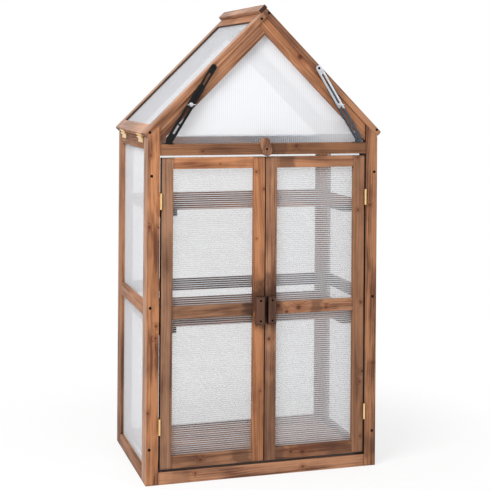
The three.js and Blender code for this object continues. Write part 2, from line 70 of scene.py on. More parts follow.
HOUSE_FRONT = -0.210
HALF_WIDTH = 0.350
EAVE_HEIGHT = 0.984
MIDDLE_RAIL = (0.468, 0.5025)  # lower and upper edge of the doors' middle rails
HANDLE_X = 0.01755
HANDLE_FRONT = -0.2225
HANDLE_SCREWS = (0.453, 0.512)
BUTTON_FRONT = -0.2191
BUTTON_SCREW = 0.94975
LEFT_PANEL_GAP = 0.0005  # the left roof panel stops this far short of the ridge line
RIGHT_PANEL_LAP = 0.018  # the right roof panel runs this far past it
GROOVE_DEPTH = 0.010
GROOVE_PLAY = 0.0003
ROOF_SHEET_LEVEL = 0.0073
SHEET_THICKNESS = 0.004
SLATS = 6
SLAT_GAP = 0.0112
SLAT_THICKNESS = 0.016
SHELF_DEPTH = 0.368
BATTEN_INSET = 0.024
BATTEN_WIDTH = 0.035
STAY_FOOT = (0.288, 0.978)  # the foot's rivet, from the middle and up
STAY_EYE = (0.160495, 1.186232)
CLAMP_RUN = 0.118  # from the foot's rivet to the clamp bolt
ARM_THICKNESS = 0.0018


# Settings

def colour_setting(name, description, default):
    return FloatVectorProperty(name=name, description=description, default=default,
                               subtype="COLOR")


def length_setting(name, description, default):
    return FloatProperty(name=name, description=description, default=default, unit="LENGTH")


def share_setting(name, description, default):
    return FloatProperty(name=name, description=description, default=default, min=0.0,
                         max=1.0, subtype="FACTOR")


class TimberSettings(bpy.types.PropertyGroup):
    edge_radius: length_setting("Edge radius", "Rounding of the timber's sawn edges", 0.0011)
    ring_spacing: length_setting("Ring spacing", "Distance between two growth rings", 0.0062)
    pale: colour_setting("Pale wood", "Early wood of the stained timber", (0.5, 0.235, 0.12))
    deep: colour_setting("Deep wood", "Late wood of the stained timber", (0.15, 0.055, 0.027))
    dark_pale: colour_setting(
        "Handle, pale wood", "Early wood of the handles", (0.158, 0.066, 0.037))
    dark_deep: colour_setting(
        "Handle, deep wood", "Late wood of the handles", (0.046, 0.019, 0.01))
    roof_rail_width: length_setting(
        "Roof rail width", "Width of the timber round a roof window", 0.035)
    stile_width: length_setting(
        "Door stile width", "Width of the upright timber of a door", 0.034)
    gable_bar_width: length_setting(
        "Gable bar width", "Width of the sloping bars of a gable", 0.035)


class GlazingSettings(bpy.types.PropertyGroup):
    flute_pitch: length_setting(
        "Flute pitch", "Distance between the ribs of the twin-wall sheet", 0.006)
    tint: colour_setting("Tint", "Colour of the sheet's skins", (0.87, 0.88, 0.91))
    cover: share_setting("Cover", "How much each skin hides of what lies behind it", 0.115)
    rib_cover: share_setting(
        "Rib cover", "How much more the skin hides in front of a rib", 0.2)


class HardwareSettings(bpy.types.PropertyGroup):
    brass: colour_setting("Brass", "Colour of the hinges", (0.9, 0.65, 0.31))
    zinc: colour_setting(
        "Zinc", "Colour of the plated stay and the wing nuts", (0.52, 0.54, 0.57))
    dull_zinc: colour_setting(
        "Dull zinc", "Colour of the plated stay below its wing nut", (0.08, 0.088, 0.102))
    black: colour_setting("Black", "Colour of the coated stay", (0.008, 0.008, 0.008))
    screw: colour_setting("Screw", "Colour of the sunk wood screws", (0.008, 0.006, 0.005))
    screw_radius: length_setting(
        "Screw head radius", "Radius of the timber screws' heads", 0.0039)


class StageSettings(bpy.types.PropertyGroup):
    lens: FloatProperty(
        name="Lens", description="Focal length on a sensor 36 mm wide", default=86.25)
    sky: FloatProperty(
        name="Sky strength", description="Strength of the even light from all round",
        default=0.58, min=0.0)
    key: FloatProperty(
        name="Key lamp", description="Power of the large soft lamp at the front",
        default=84.0, min=0.0, unit="POWER")
    fill: FloatProperty(
        name="Fill lamp", description="Power of the soft lamp at the right",
        default=15.0, min=0.0, unit="POWER")
    floor_lift: share_setting(
        "Floor lift", "Share of the floor's white that no shadow takes away", 0.72)


def settings(group):
    """The settings of one group: timber, glazing, hardware or stage."""
    return getattr(bpy.context.scene, "greenhouse_" + group)


# Materials

NEAR_ZERO = 0.00001

# Noises in the wood: how fine along and across the grain, detail and roughness.
WOOD_NOISES = {
    "blotch": (22.0, 45.0, 2.0, 0.5), "wander": (2.6, 11.0, 2.0, 0.5),
    "wide": (1.6, 52.0, 2.0, 0.5), "streak": (5.0, 165.0, 3.0, 0.6),
    "fibre": (55.0, 1300.0, 2.0, 0.6), "patch": (6.5, 15.0, 3.0, 0.55),
}
# How far each noise moves the wood between its pale and its deep colour.
SWINGS = {"wide": 1.5, "streak": 1.5, "patch": 2.1, "fibre": 0.25}
# Marks on the wood: how much of the mark's own colour shows, and that colour as shares of
# the wood's red, green and blue. The shaded mark is painted shade in gaps, rebates and holes.
MARKS = {
    "halo": (0.40, (1.35, 1.0, 0.7)), "core": (0.90, (0.42, 0.28, 0.18)),
    "edge": (0.28, (1.20, 1.20, 1.20)), "end": (0.80, (0.50, 0.50, 0.50)),
    "dark": (1.0, (0.45, 0.45, 0.45)), "shaded": (1.0, (0.10, 0.10, 0.10)),
}
TIP_SHARE, SMUDGE_SHARE = 0.40, 0.85
WARM_STAIN, COOL_STAIN = (1.05, 0.95, 0.80), (0.94, 1.06, 1.22)
# Painted sheen: the pale grey that faces turned to the sky and the key lamp are drawn
# towards.
SHEEN_WOOD = (0.78, 0.65, 0.56)
CLEAR_SKIN = (0.78, 0.90, 1.0)
SCUFF_TONE = (0.72, 0.72, 0.72)
DULL_HEIGHTS = (1.066, 1.072)  # the plated upper arm is dull below the first and bright above

# Each metal: its colour among the settings, its roughness, how metallic it is and how it
# shines, and for one that is dull low down the duller colour.
METALS = {
    "brass": ("brass", 0.26, 1.0, 0.5), "zinc_steel": ("zinc", 0.34, 1.0, 0.5),
    "dull_zinc": ("dull_zinc", 0.46, 1.0, 0.5),
    "worn_zinc": ("zinc", 0.38, 1.0, 0.5, "dull_zinc"),
    "black_steel": ("black", 0.30, 0.0, 0.13), "screw_steel": ("screw", 0.60, 0.0, 0.08),
}


class Graph:
    """Short names for the nodes of one material, or of the sky."""

    def __init__(self, holder):
        self.holder = holder
        holder.use_nodes = True
        self.tree = holder.node_tree
        self.tree.nodes.clear()

    def node(self, kind, inputs=(), **values):
        """A new node, with some of its inputs fed from pairs of key and value."""
        made = self.tree.nodes.new(kind)
        for key, value in values.items():
            setattr(made, key, value)
        for key, value in dict(inputs).items():
            self.feed(made.inputs[key], value)
        return made

    def feed(self, socket, value):
        if isinstance(value, bpy.types.NodeSocket):
            self.tree.links.new(value, socket)
        else:
            socket.default_value = (*value, 1.0) if socket.type == "RGBA" else value

    def math(self, operation, *values, clamp=False):
        return self.node("ShaderNodeMath", enumerate(values), operation=operation,
                         use_clamp=clamp).outputs[0]

    plus = partialmethod(math, "ADD")
    minus = partialmethod(math, "SUBTRACT")
    times = partialmethod(math, "MULTIPLY")
    times_plus = partialmethod(math, "MULTIPLY_ADD")
    over = partialmethod(math, "DIVIDE")
    power = partialmethod(math, "POWER")
    most = partialmethod(math, "MAXIMUM")
    unsigned = partialmethod(math, "ABSOLUTE")

    def hypot(self, a, b):
        return self.math("SQRT", self.plus(self.power(a, 2.0), self.power(b, 2.0)))

    def centred(self, value, gain):
        """A value round one half, moved to lie round zero and multiplied by gain."""
        return self.times_plus(value, gain, -gain / 2)

    def less_share(self, value, share):
        """One, less a share of the value."""
        return self.times_plus(value, -share, 1.0)

    def span(self, value, low, high, to_low=0.0, to_high=1.0):
        return self.node("ShaderNodeMapRange", enumerate((value, low, high, to_low, to_high)),
                         interpolation_type="SMOOTHSTEP").outputs[0]

    def fade(self, value, low, high):
        """One up to low, and nothing from high on."""
        return self.span(value, low, high, 1.0, 0.0)

    def attribute(self, name):
        return self.node("ShaderNodeAttribute", attribute_name=name).outputs["Vector"]

    def split(self, vector):
        return self.node("ShaderNodeSeparateXYZ", {0: vector}).outputs[:]

    def noise(self, vector, scale, detail=2.0, roughness=0.5):
        place = self.node("ShaderNodeVectorMath", enumerate((vector, scale)),
                          operation="MULTIPLY").outputs[0]
        return self.node("ShaderNodeTexNoise", {
            "Vector": place, "Scale": 1.0, "Detail": detail, "Roughness": roughness},
            noise_dimensions="3D").outputs["Fac"]

    def mix(self, factor, a, b, blend="MIX"):
        return self.node("ShaderNodeMix", {"Factor": factor, 6: a, 7: b}, data_type="RGBA",
                         blend_type=blend).outputs[2]

    def valued(self, colour, value):
        """The colour with its brightness multiplied by a value."""
        return self.node("ShaderNodeHueSaturation",
                         {"Color": colour, "Value": value}).outputs[0]

    def bump(self, height, strength, distance):
        return self.node("ShaderNodeBump", {"Height": height, "Strength": strength,
                                            "Distance": distance}).outputs[0]

    def seen_rays(self):
        """One for rays from the camera and for those that metal and glass send on."""
        path = self.node("ShaderNodeLightPath").outputs
        seen = path["Is Camera Ray"]
        for name in ("Is Glossy Ray", "Is Transmission Ray"):
            seen = self.most(seen, path[name])
        return seen

    def end(self, shader, kind="Material"):
        self.node(f"ShaderNodeOutput{kind}", {"Surface": shader.outputs[0]})

    def surface(self, **sockets):
        self.end(self.node("ShaderNodeBsdfPrincipled",
                           {key.replace("_", " "): value for key, value in sockets.items()}))


def toned(colour, shares):
    return [part * share for part, share in zip(colour, shares)]


def stained_fir(name, pale, deep):
    """Softwood whose grain, stain, knots and smudges come with each timber, with painted
    shade and painted sheen on some of its faces.
    """
    g = Graph(bpy.data.materials.new(name))
    grain = g.attribute("grain")
    across, through = g.split(grain)[1:]
    run, offset, half = g.split(g.attribute("place"))
    end, edge, tone = g.split(g.attribute("timber"))
    grey, contrast, shaded = g.split(g.attribute("stain"))
    noise = {key: g.noise(grain, (fine, finer, finer), detail, roughness)
             for key, (fine, finer, detail, roughness) in WOOD_NOISES.items()}

    def marked(colour, factor, key, wood=deep):
        share, shares = MARKS[key]
        return g.mix(g.times(factor, share), colour, toned(wood, shares))

    core, halo = 0.0, 0.0
    for key in KNOT_LAYERS:
        knot_run, knot_offset, radius = g.split(g.attribute(key))
        reach = g.hypot(g.times(g.minus(run, knot_run), 0.85), g.minus(offset, knot_offset))
        gap = g.over(reach, g.most(radius, NEAR_ZERO))
        core = g.most(core, g.fade(gap, 0.20, 1.20))
        halo = g.most(halo, g.fade(gap, 0.8, 3.6))
    smudge = 0.0
    for key in SMUDGE_LAYERS:
        smudge_run, reach, strength = g.split(g.attribute(key))
        gap = g.over(g.unsigned(g.minus(run, smudge_run)), g.most(reach, NEAR_ZERO))
        gap = g.plus(gap, g.centred(noise["blotch"], 1.6))
        smudge = g.most(smudge, g.times(g.fade(gap, 0.45, 1.05), strength))

    pith = g.plus(g.hypot(across, through), g.centred(noise["wander"], 0.034))
    pith = g.plus(pith, g.times(halo, 0.009))
    turn = g.math("FRACT", g.over(pith, settings("timber").ring_spacing))
    late = g.times(g.span(turn, 0.20, 0.80), g.fade(turn, 0.84, 1.0))
    swing = g.times_plus(late, 0.26, -0.10)
    for key, gain in SWINGS.items():
        swing = g.plus(swing, g.centred(noise[key], gain))
    depth = g.times_plus(swing, contrast, 0.40, clamp=True)

    colour = marked(g.mix(depth, pale, deep), halo, "halo")
    colour = marked(colour, edge, "edge", pale)
    colour = g.mix(1.0, colour, g.mix(grey, WARM_STAIN, COOL_STAIN), "MULTIPLY")
    tip = g.fade(g.minus(half, g.unsigned(run)), 0.0, 0.007)
    dark = g.most(g.times(tip, TIP_SHARE), g.times(smudge, SMUDGE_SHARE))
    colour = marked(marked(colour, dark, "dark"), end, "end")
    colour = marked(g.valued(colour, tone), core, "core")
    # Painted sheen: faces turned to the sky and the key lamp are drawn towards a pale grey.
    colour = g.mix(g.split(g.attribute("bleach"))[0], colour, SHEEN_WOOD)
    # Painted shade of gaps, rebates and screw holes; the ridge cap's front end is darkened
    # with it too.
    colour = marked(colour, shaded, "shaded")
    height = g.minus(g.times(noise["fibre"], 0.6), g.times(late, 0.3))
    g.surface(Base_Color=colour,
              Roughness=g.span(noise["streak"], 0.3, 0.7, 0.54, 0.70),
              Specular_IOR_Level=0.28,
              Normal=g.bump(height, 0.22, 0.0005))
    return g.holder


def twin_wall_sheet(name):
    """Frosted clear sheet with a fine line at each rib, and clearer with painted shade below
    its lap height.
    """
    g = Graph(bpy.data.materials.new(name))
    glass = settings("glazing")
    grain = g.attribute("grain")
    along, across = g.split(grain)[:2]
    lines, pale, shade = g.split(g.attribute("sheet"))
    lap, veil = g.split(g.attribute("lap"))[:2]
    # Below the lap height the sheet turns clearer and bluer, with painted shade, most at the
    # left.
    clear = g.times(g.fade(g.minus(along, lap), -0.001, 0.001),
                    g.span(across, -0.10, 0.36, 1.0, 0.06))
    pale = g.times(pale, g.minus(1.0, clear))
    shade = g.times(shade, g.less_share(clear, 0.38))
    turn = g.math("PINGPONG", g.over(across, glass.flute_pitch), 0.5)
    line = g.times(g.fade(turn, 0.10, 0.30), lines)
    cloud = g.noise(grain, (9.0, 9.0, 9.0))
    between = g.times(g.times(g.minus(1.0, line), veil), g.less_share(pale, 2.2))
    shade = g.times(shade, g.less_share(between, 0.88))
    ribs = g.times_plus(veil, glass.rib_cover * 0.50, glass.rib_cover)
    cover = g.plus(g.times_plus(line, ribs, g.times(veil, -0.055)),
                   g.span(cloud, 0.2, 0.8, glass.cover - 0.01, glass.cover + 0.01))
    cover = g.plus(cover, g.times(pale, 0.5), clamp=True)
    tint = Vector(glass.tint)
    skin = g.mix(line, tint, g.mix(veil, tint * 0.86, tint))
    g.surface(Base_Color=g.valued(g.mix(clear, skin, CLEAR_SKIN), shade), Roughness=0.42,
              Alpha=cover, Specular_IOR_Level=0.30)
    return g.holder


def plated_metal(name, colour, roughness, metallic, shine, dull=None):
    """Metal with faint rolling marks and scuffs, and duller below the wing nut if asked."""
    g = Graph(bpy.data.materials.new(name))
    colour = tuple(getattr(settings("hardware"), colour))
    place = g.node("ShaderNodeTexCoord").outputs["Object"]
    roll = g.noise(place, (900.0, 900.0, 140.0))
    scuff = g.noise(place, (160.0, 160.0, 160.0), 3.0, 0.6)
    shade = g.mix(g.span(scuff, 0.45, 0.75, 0.0, 0.35), colour, toned(colour, SCUFF_TONE))
    if dull:
        shade = g.mix(g.fade(g.split(place)[2], *DULL_HEIGHTS), shade,
                      tuple(getattr(settings("hardware"), dull)))
    g.surface(Base_Color=shade, Metallic=metallic, Specular_IOR_Level=shine,
              Roughness=g.span(scuff, 0.3, 0.7, roughness, roughness + 0.16),
              Normal=g.bump(roll, 0.05, 0.0001))
    return g.holder


@cache
def finish_of(slot):
    """The material of a slot, made when it is first asked for."""
    if slot == "glazing":
        return twin_wall_sheet(slot)
    if slot in METALS:
        return plated_metal(slot, *METALS[slot])
    wood = settings("timber")
    if slot == "dark_wood":
        return stained_fir(slot, tuple(wood.dark_pale), tuple(wood.dark_deep))
    return stained_fir(slot, tuple(wood.pale), tuple(wood.deep))


# How each timber was stained: its lightness, how grey it is, how streaky, and for one the
# log that it was sawn from. The other timbers draw theirs by chance.
STAINS = {
    "post_front_left": (0.83, 0.05, 1.4), "post_front_right": (0.72, 0.25, 1.4, 2),
    "post_back_left": (0.72, 0.35, 1.1), "front_rail_top": (0.5, 0.15, 0.9),
    "front_rail_bottom": (0.88, 0.6, 1.2), "side_rail_top_left": (0.62, 0.15, 1.1),
    "side_rail_middle_left": (0.92, 0.5, 0.8), "side_rail_bottom_left": (0.7, 0.3, 1.0),
    "door_left_stile_hinge": (0.66, 0.85, 0.9), "door_left_stile_meeting": (0.82, 0.0, 0.9),
    "door_left_rail_top": (1.1, 0.1, 0.8), "door_left_rail_middle": (0.56, 0.6, 1.1),
    "door_left_rail_bottom": (0.62, 0.5, 1.1),
    "door_right_stile_hinge": (0.6, 0.5, 0.8), "door_right_stile_meeting": (0.78, 0.7, 1.1),
    "door_right_rail_top": (0.82, 0.35, 1.0), "door_right_rail_middle": (0.86, 0.6, 1.5),
    "door_right_rail_bottom": (0.74, 0.4, 1.2),
    "turn_button": (0.88, 0.85, 1.0), "door_right_handle": (0.98, 0.45, 1.1),
    "gable_bar_front_left": (0.78, 0.45, 1.1), "gable_bar_front_right": (0.84, 0.15, 1.0),
    "roof_left_rail_front": (0.92, 0.5, 1.1), "roof_left_rail_back": (0.72, 0.4, 1.0),
    "roof_left_rail_eave": (1.05, 0.45, 0.8), "roof_left_rail_ridge": (0.9, 0.3, 0.8),
    "roof_right_rail_front": (0.78, 0.6, 1.1),
    "ridge_cap": (0.98, 0.8, 1.1),
    # The top shelf's battens are drawn nearly black.
    "shelf_top_batten_left": (0.1, 0.3, 1.0), "shelf_top_batten_right": (0.2, 0.3, 1.0),
}
for number in range(1, SLATS + 1):
    STAINS[f"shelf_bottom_slat_{number}"] = (1.25, 0.85, 0.7)
FALLBACK_STAINS = ((0.62, 0.92), (0.1, 0.6), (0.9, 1.2))

# Knots: across the house, up, and radius.
KNOTS = {
    "post_front_left": ((-0.341, 0.935, 0.0036), (-0.343, 0.732, 0.0038),
        (-0.3174, 0.7306, 0.0032), (-0.3222, 0.4512, 0.0036),
        (-0.3246, 0.4172, 0.0042), (-0.3455, 0.206, 0.0042)),
    "post_front_right": ((0.3264, 0.7795, 0.0046), (0.3375, 0.307, 0.004)),
    "door_right_stile_hinge": ((0.287, 0.921, 0.0032), (0.2892, 0.765, 0.0042),
        (0.3, 0.49, 0.0042), (0.306, 0.284, 0.0048),
        (0.2985, 0.2535, 0.0034), (0.301, 0.0905, 0.0034)),
    "door_left_stile_meeting": ((-0.0289, 0.884, 0.0042), (-0.005, 0.8333, 0.0042),
        (-0.026, 0.69, 0.0024), (-0.012, 0.246, 0.0024)),
    "door_left_rail_top": ((-0.1372, 0.9076, 0.0022),),
    "door_right_stile_meeting": ((0.013, 0.3965, 0.0062),),
    "door_right_rail_middle": ((0.0403, 0.4921, 0.0072), (0.067, 0.4732, 0.0064),
        (0.104, 0.484, 0.0088), (0.19, 0.48, 0.005)),
    "door_right_rail_bottom": ((0.1185, 0.0596, 0.0082), (0.083, 0.0626, 0.0056)),
    "door_left_rail_bottom": ((-0.191, 0.0625, 0.0044),),
    "front_rail_top": ((0.0936, 0.958, 0.0062), (-0.19, 0.945, 0.004)),
    "front_rail_bottom": ((0.12, 0.016, 0.0045), (-0.205, 0.024, 0.0036)),
    "gable_bar_front_right": ((0.1049, 1.2186, 0.0095),),
    "gable_bar_front_left": ((-0.2, 1.105, 0.0034),),
    "roof_left_rail_back": ((-0.105, 1.229, 0.0045), (-0.285, 1.049, 0.0045)),
}

# Dark smudges: across the house, up, half length along the grain, and strength.
SMUDGES = {
    "front_rail_top": ((0.04, 0.95, 0.034, 0.62),),
    "door_right_rail_top": ((0.06, 0.911, 0.03, 0.72),),
    "door_left_stile_meeting": ((-0.018, 0.505, 0.088, 1.0),),
    "door_right_stile_meeting": ((0.018, 0.503, 0.085, 0.95), (0.018, 0.15, 0.22, 0.58)),
    "door_left_rail_middle": ((-0.036, 0.485, 0.034, 0.9),),
    "door_right_rail_middle": ((0.16, 0.485, 0.022, 0.6), (0.036, 0.485, 0.02, 0.6)),
    "door_left_stile_hinge": ((-0.292, 0.64, 0.08, 0.3),),
    "door_left_rail_bottom": ((-0.066, 0.06, 0.034, 0.6),),
    "door_right_rail_bottom": ((0.042, 0.064, 0.026, 0.7), (0.23, 0.064, 0.062, 0.45)),
    "post_front_left": ((-0.332, 0.61, 0.1, 0.25),),
    "post_front_right": ((0.34, 0.06, 0.04, 0.45),),
    "roof_left_rail_back": ((-0.19, 1.144, 0.022, 0.75),),
    "roof_left_rail_front": ((-0.008, 1.326, 0.02, 0.42),),
    "roof_right_rail_front": ((-0.002, 1.336, 0.018, 0.42),),
    "door_left_rail_top": ((-0.07, 0.911, 0.02, 0.2),),
    "front_rail_bottom": ((-0.25, 0.018, 0.04, 0.35),),
}

KNOT_LAYERS = ("knot_one", "knot_two", "knot_three", "knot_four", "knot_five", "knot_six")
SMUDGE_LAYERS = ("smudge_one", "smudge_two")

# Each twin-wall sheet: how its rib lines show, how pale and how light it is, the height
# below which it is clearer and carries painted shade, and how much lighter its ribs are than
# the skin between.
NO_LAP = -9.0
SHEETS = {
    "gable_sheet_front": (0.8, 0.85, 1.04, 0.9905, 0.0),
    "gable_sheet_back": (0.2, 0.22, 1.04, NO_LAP, 0.0),
    "side_sheet_left": (0.1, 0.36, 0.97, NO_LAP, 0.0),
    "side_sheet_right": (0.1, 0.08, 1.0, NO_LAP, 0.0),
    "back_sheet": (0.1, 0.05, 1.0, NO_LAP, 0.0),
    "door_left_sheet": (1.0, 0.04, 0.88, NO_LAP, 1.0),
    "door_right_sheet": (1.0, 0.25, 0.88, NO_LAP, 1.0),
    "roof_left_sheet": (0.15, 0.25, 0.92, NO_LAP, 0.0),
    "roof_right_sheet": (0.15, 0.25, 0.92, NO_LAP, 0.0),
}


# Meshes

WELD = 1e-6  # vertices nearer than this are one
ON_PLANE = 1e-5
FLAT = math.radians(1)
SMOOTH = math.radians(35)
SAWN = 0.6  # edges that turn by more than this are rounded
SQUARE_ON = 0.75  # how squarely a face looks one way, as a cosine, to count as that side
# the cosine at which a face counts as turned to the light and takes painted sheen
SHEEN_ON = 0.6
# how much of the painted shade a dim face gets
DIM_SHARE = 0.78
SKIN_SHARE = 0.1  # of a sheet's depth
BORE_REACH = 0.0036
BORE_SINK = 0.002


def mesh_of(name, bm):
    mesh = bpy.data.meshes.new(name)
    bm.to_mesh(mesh)
    bm.free()
    return mesh


def add_object(name, data):
    made = bpy.data.objects.new(name, data)
    bpy.context.scene.collection.objects.link(made)
    return made


def add_piece(name, bm, slot, node=None, body=None, finish=None):
    """Turns a bmesh into a piece that stands for a node, or one that only rides on a body."""
    mesh = mesh_of(name, bm)
    mesh.shade_smooth()
    mesh.set_sharp_from_angle(angle=SMOOTH)
    piece = add_object(name, mesh)
    mesh.materials.append(finish_of(finish or slot))
    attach(piece, body or body_of_node(node))
    if node:
        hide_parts(node)


def body_of_node(node):
    for body, nodes in frame["record"]["behaviour"]["bodies"].items():
        if node in nodes:
            return body
    raise ValueError(f"no body holds {node}")


def prism(outline, origin, u, v, w, depth):
    """A solid with the outline in the plane of u and v, as deep as depth along w."""
    bm = bmesh.new()
    near = [bm.verts.new(origin + u * a + v * b) for a, b in outline]
    far = [bm.verts.new(p.co + w * depth) for p in near]
    bm.faces.new(near)
    bm.faces.new(far)
    for corners in zip(near, near[1:] + near[:1], far[1:] + far[:1], far):
        bm.faces.new(corners)
    bmesh.ops.recalc_face_normals(bm, faces=bm.faces)
    return bm


def on_grain(point, middle, grain, up):
    """Where a point lies along the grain and across it, seen from the middle."""
    off = point - middle
    return off.dot(grain), off.dot(up)


def grain_into(bm, name, grain, hidden=(), dim=(), bleached=(), bores=()):
    """Rounds a timber's edges, and writes how its grain runs and how its faces look.

    Shaded sides and screw holes get painted shade, dim faces part of it, and sheen sides
    their share of painted sheen.
    """
    tone, grey, contrast, *log = STAINS.get(name, (None, None, None))
    chance = random.Random(f"{name}{log[0]}" if log else name)
    grain = grain.normalized()
    side = grain.cross(Z if abs(grain.z) < 0.9 else X).normalized()
    up = grain.cross(side)
    corners = [v.co for v in bm.verts]
    middle = Vector([(min(c[i] for c in corners) + max(c[i] for c in corners)) / 2
                     for i in range(3)])
    half = max(abs((c - middle).dot(grain)) for c in corners)
    front = min(c.y for c in corners)
    far = chance.uniform(0.020, 0.055)
    angle = chance.uniform(0, 2 * math.pi)
    slide = chance.uniform(0, 3)
    lean = chance.uniform(-0.02, 0.02)
    seeds = bm.verts.layers.float_vector.new("grain")
    place = bm.verts.layers.float_vector.new("place")
    for vert in bm.verts:
        run, rise = on_grain(vert.co, middle, grain, up)
        vert[seeds] = (run + slide,
                       (vert.co - middle).dot(side) + far * math.cos(angle) + run * lean,
                       rise + far * math.sin(angle) + run * lean)
        vert[place] = (run, rise, half)
    if tone is None:
        tone, grey, contrast = [chance.uniform(*ends) for ends in FALLBACK_STAINS]

    constants = {}
    for layer, (x, z, radius) in zip(KNOT_LAYERS, KNOTS.get(name, ())):
        constants[layer] = (*on_grain(Vector((x, front, z)), middle, grain, up), radius)
    for layer, (x, z, reach, strength) in zip(SMUDGE_LAYERS, SMUDGES.get(name, ())):
        run = on_grain(Vector((x, front, z)), middle, grain, up)[0]
        constants[layer] = (run, reach, strength)
    layers = {key: bm.faces.layers.float_vector.new(key)
              for key in ("timber", "stain", "bleach") + KNOT_LAYERS + SMUDGE_LAYERS}
    rounded = round_edges(bm, hidden)

    def looks(face, ways, limit=SQUARE_ON):
        return any(face.normal.dot(way) > limit for way in ways)

    def sunk(face):
        """Whether a face lies inside a screw hole."""
        centre = face.calc_center_median()
        return any(Vector((centre.x - x, centre.z - z)).length < BORE_REACH
                   and (abs(face.normal.y) < 0.5 or centre.y > front + BORE_SINK)
                   for x, z in bores)

    for face in bm.faces:
        end = 1.0 if looks(face, (grain, -grain)) else 0.0
        # Painted shade in gaps, rebates and screw holes.
        shaded = 1.0 if sunk(face) or looks(face, hidden) else 0.0
        if looks(face, dim):
            shaded = DIM_SHARE
        # Painted sheen: faces turned to the sky and the key lamp grow paler and greyer.
        bleach = max([share for way, share in bleached if looks(face, (way,), SHEEN_ON)],
                     default=0.0)
        face[layers["timber"]] = (end, 1.0 if face in rounded else 0.0, tone)
        face[layers["stain"]] = (grey, contrast, shaded)
        face[layers["bleach"]] = (bleach, 0.0, 0.0)
        for key, value in constants.items():
            face[layers[key]] = value


def round_edges(bm, hidden):
    """Rounds the sawn edges, apart from the back ones of a side in painted shade.

    Returns the rounded faces.
    """
    bmesh.ops.remove_doubles(bm, verts=bm.verts, dist=WELD)

    def inside(edge):
        normals = [f.normal for f in edge.link_faces]
        return (any(n.y > 0.9 for n in normals)
                and any(n.dot(way) > 0.9 for n in normals for way in hidden))

    sharp = [e for e in bm.edges if len(e.link_faces) == 2
             and e.calc_face_angle(0) > SAWN and not inside(e)]
    made = bmesh.ops.bevel(bm, geom=sharp, offset=settings("timber").edge_radius, segments=2,
                           profile=0.6, affect="EDGES", clamp_overlap=True)
    return set(made["faces"])


def timber(name, node, bm, grain, slot, finish=None, **looks):
    """A piece of wood with rounded edges and its own grain."""
    grain_into(bm, name, grain, **looks)
    piece = name + "_timber" if name == node else name
    add_piece(piece, bm, slot, node, finish=finish)


def with_whole_faces(bm):
    bmesh.ops.dissolve_limit(bm, angle_limit=FLAT, verts=bm.verts, edges=bm.edges)
    return bm


def solid_mesh(node):
    """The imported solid's own shape, with its flat faces whole."""
    bm = bmesh.new()
    bm.from_mesh(frame["nodes"][node].data)
    bmesh.ops.remove_doubles(bm, verts=bm.verts, dist=WELD)
    return with_whole_faces(bm)


def timber_from_solid(node, grain, slot, **looks):
    """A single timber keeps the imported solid's shape and gets rounded edges and grain."""
    timber(node, node, solid_mesh(node), grain, slot, **looks)


def kept_part(node, cuts):
    """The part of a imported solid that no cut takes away. A cut is a point and a normal.

    A face in the plane of a cut that belonged to the part cut away goes with it.
    """
    bm = solid_mesh(node)
    for point, normal in cuts:
        geometry = bm.verts[:] + bm.edges[:] + bm.faces[:]
        bmesh.ops.bisect_plane(bm, geom=geometry, plane_co=point, plane_no=normal,
                               clear_outer=True, dist=ON_PLANE)
        unit = normal.normalized()
        stray = [f for f in bm.faces if f.normal.dot(unit) < -0.999
                 and abs((f.calc_center_median() - point).dot(unit)) < 2 * ON_PLANE]
        bmesh.ops.delete(bm, geom=stray, context="FACES")
        rim = [e for e in bm.edges if e.is_boundary]
        bmesh.ops.holes_fill(bm, edges=rim, sides=0)
        bmesh.ops.recalc_face_normals(bm, faces=bm.faces)
    with_whole_faces(bm)
    bmesh.ops.recalc_face_normals(bm, faces=bm.faces)
    return bm


def cut_timber(name, node, cuts, grain, **looks):
    """One rail, bar or stile of a frame that is packed as a single solid."""
    timber(name, node, kept_part(node, cuts), grain, "rail_wood", **looks)


def box_outline(a0, a1, b0, b1):
    return [(a0, b0), (a1, b0), (a1, b1), (a0, b1)]


def clip_span(outline, position):
    """Where a line across a convex outline enters and leaves it."""
    hits = []
    for (a, b), (c, d) in zip(outline, outline[1:] + outline[:1]):
        if (b - position) * (d - position) < 0:
            hits.append(a + (position - b) / (d - b) * (c - a))
    return (min(hits), max(hits)) if len(hits) == 2 else None


def glazing_piece(node, outline, origin, u, v, w, depth, flutes):
    """A twin-wall sheet: its two skins and the ribs between them."""
    if flutes == "v":
        outline, u, v = [(b, a) for a, b in outline], v, u
    bm = prism(outline, origin, u, v, w, depth)
    pitch = settings("glazing").flute_pitch
    ends = [b for a, b in outline]
    inner = depth * SKIN_SHARE
    for step in range(math.ceil(min(ends) / pitch), math.floor(max(ends) / pitch) + 1):
        found = clip_span(outline, step * pitch)
        if found and found[1] - found[0] >= pitch:
            start, stop = found
            bm.faces.new([bm.verts.new(origin + u * a + v * (step * pitch) + w * deep)
                          for a, deep in ((start, inner), (stop, inner),
                                          (stop, depth - inner), (start, depth - inner))])
    place = bm.verts.layers.float_vector.new("grain")
    for vert in bm.verts:
        off = vert.co - origin
        vert[place] = (off.dot(u), off.dot(v), off.dot(w))
    lines, pale, shade, lap, veil = SHEETS[node]
    sheet = bm.faces.layers.float_vector.new("sheet")
    laps = bm.faces.layers.float_vector.new("lap")
    for face in bm.faces:
        face[sheet] = (lines, pale, shade)
        face[laps] = (lap, veil, 0.0)
    add_piece(node + "_twin_wall", bm, "glazing", node)


def standing_sheet(node, flutes, outline=None):
    """A sheet that stands across the house, level with its front."""
    low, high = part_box(node)
    outline = outline or box_outline(low.x, high.x, low.z, high.z)
    glazing_piece(node, outline, Y * low.y, X, Z, Y, high.y - low.y, flutes)


